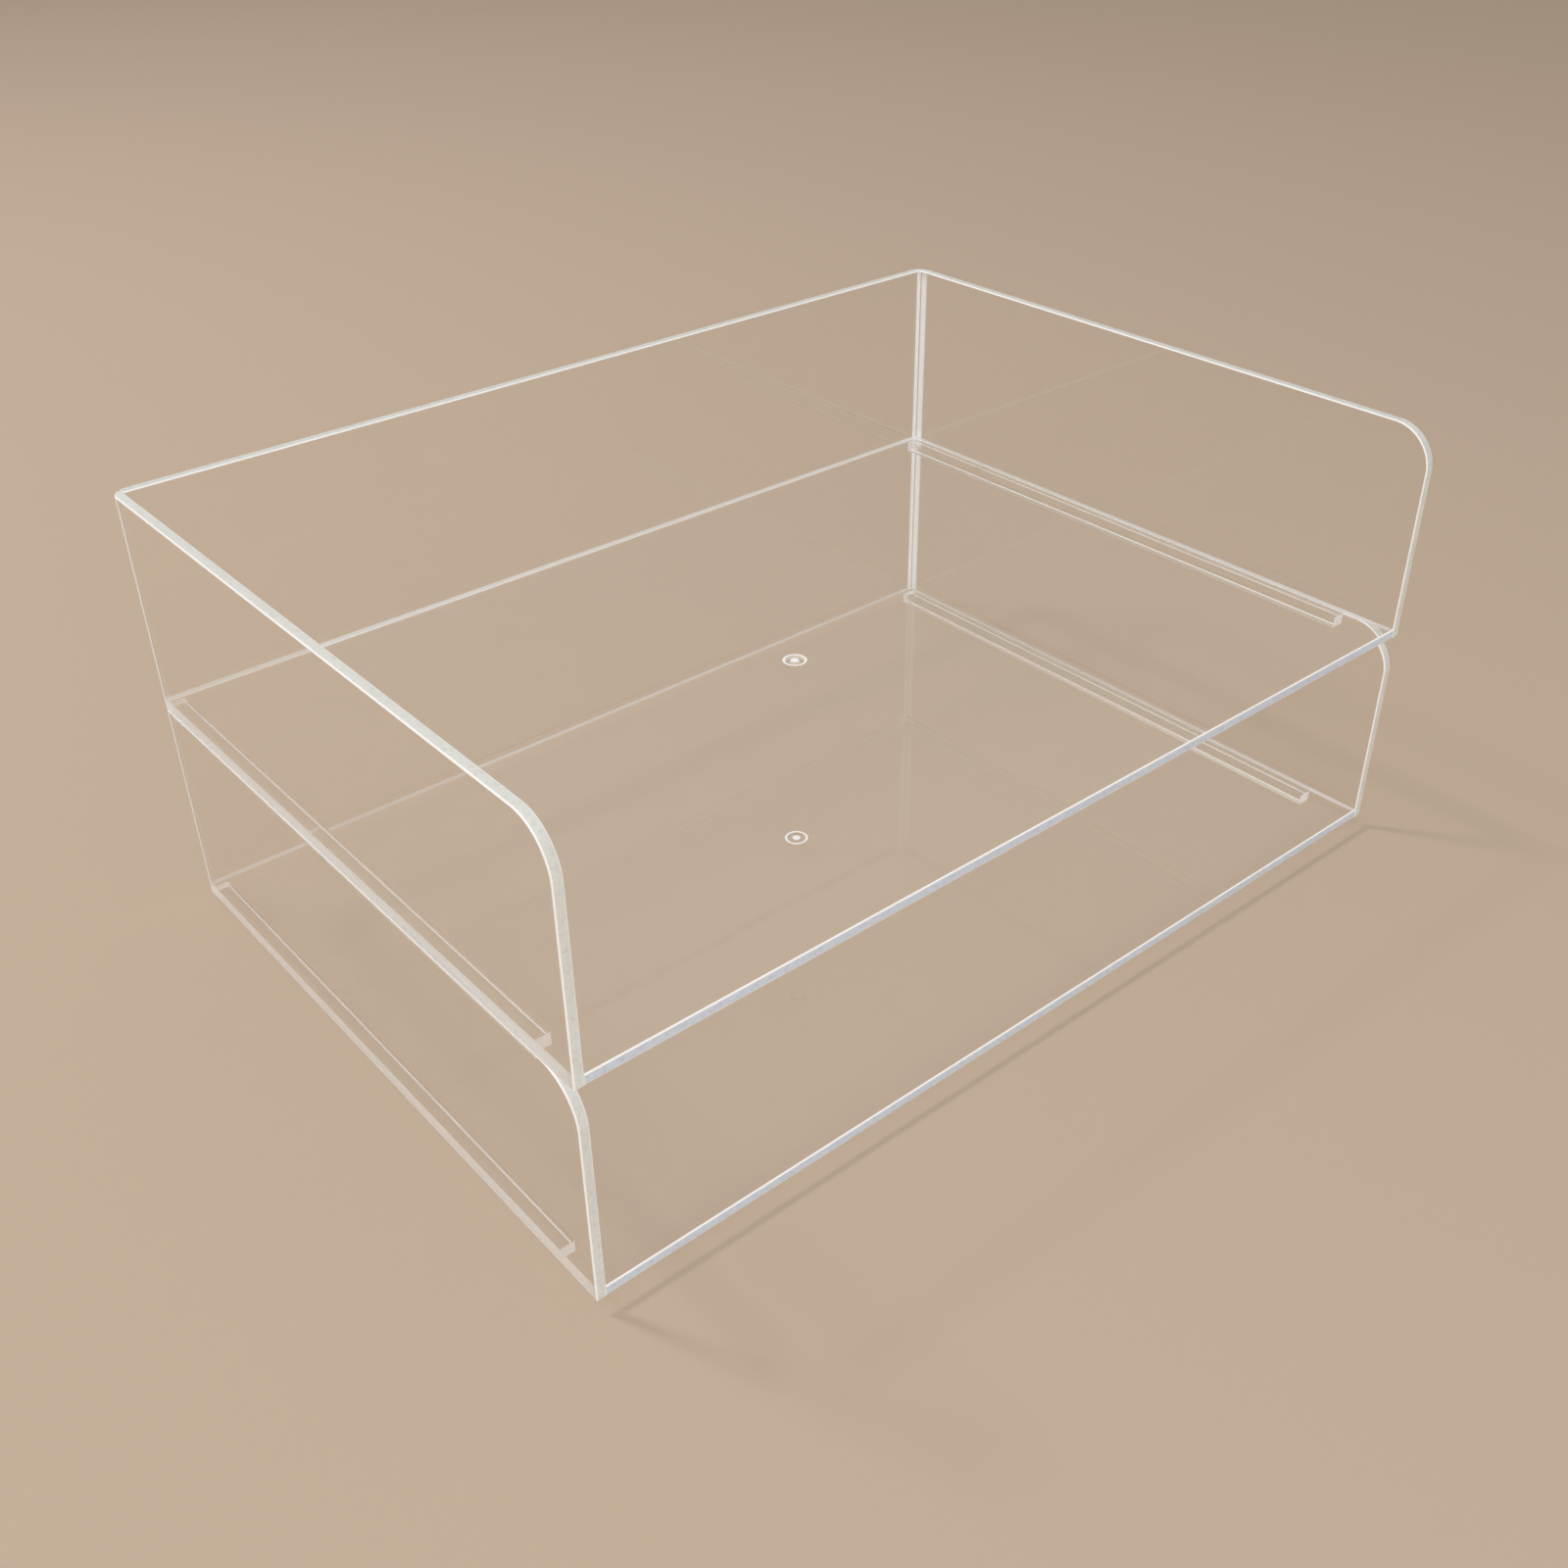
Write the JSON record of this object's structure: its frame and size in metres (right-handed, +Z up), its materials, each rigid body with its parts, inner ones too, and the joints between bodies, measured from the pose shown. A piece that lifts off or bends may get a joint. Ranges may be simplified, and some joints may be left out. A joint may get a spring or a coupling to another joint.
{
  "type": "stacking letter tray set",
  "caption": "Clear acrylic letter trays stacked one on the other, open at the front, with rounded front corners and locating rails underneath.",
  "frame": {"origin": "centre of the footprint, in the plane the lower rails stand on", "axes": "+X to the right along the open front, +Y from the front towards the back wall, +Z up"},
  "size_m": [0.33, 0.231, 0.148],
  "materials": {
    "clear_acrylic": "clear, polished sheet"
  },
  "bodies": {
    "lower_tray": {"lower_floor_plate": "clear_acrylic", "lower_left_wall": "clear_acrylic", "lower_right_wall": "clear_acrylic", "lower_back_wall": "clear_acrylic", "lower_left_rail": "clear_acrylic", "lower_right_rail": "clear_acrylic"},
    "upper_tray": {"upper_floor_plate": "clear_acrylic", "upper_left_wall": "clear_acrylic", "upper_right_wall": "clear_acrylic", "upper_back_wall": "clear_acrylic", "upper_left_rail": "clear_acrylic", "upper_right_rail": "clear_acrylic"}
  },
  "joints": [
    {"name": "upper_tray_lift", "type": "slide", "parent": "lower_tray", "child": "upper_tray", "axis": [0, 0, 1], "range_m": [0, 0.12]}
  ]
}
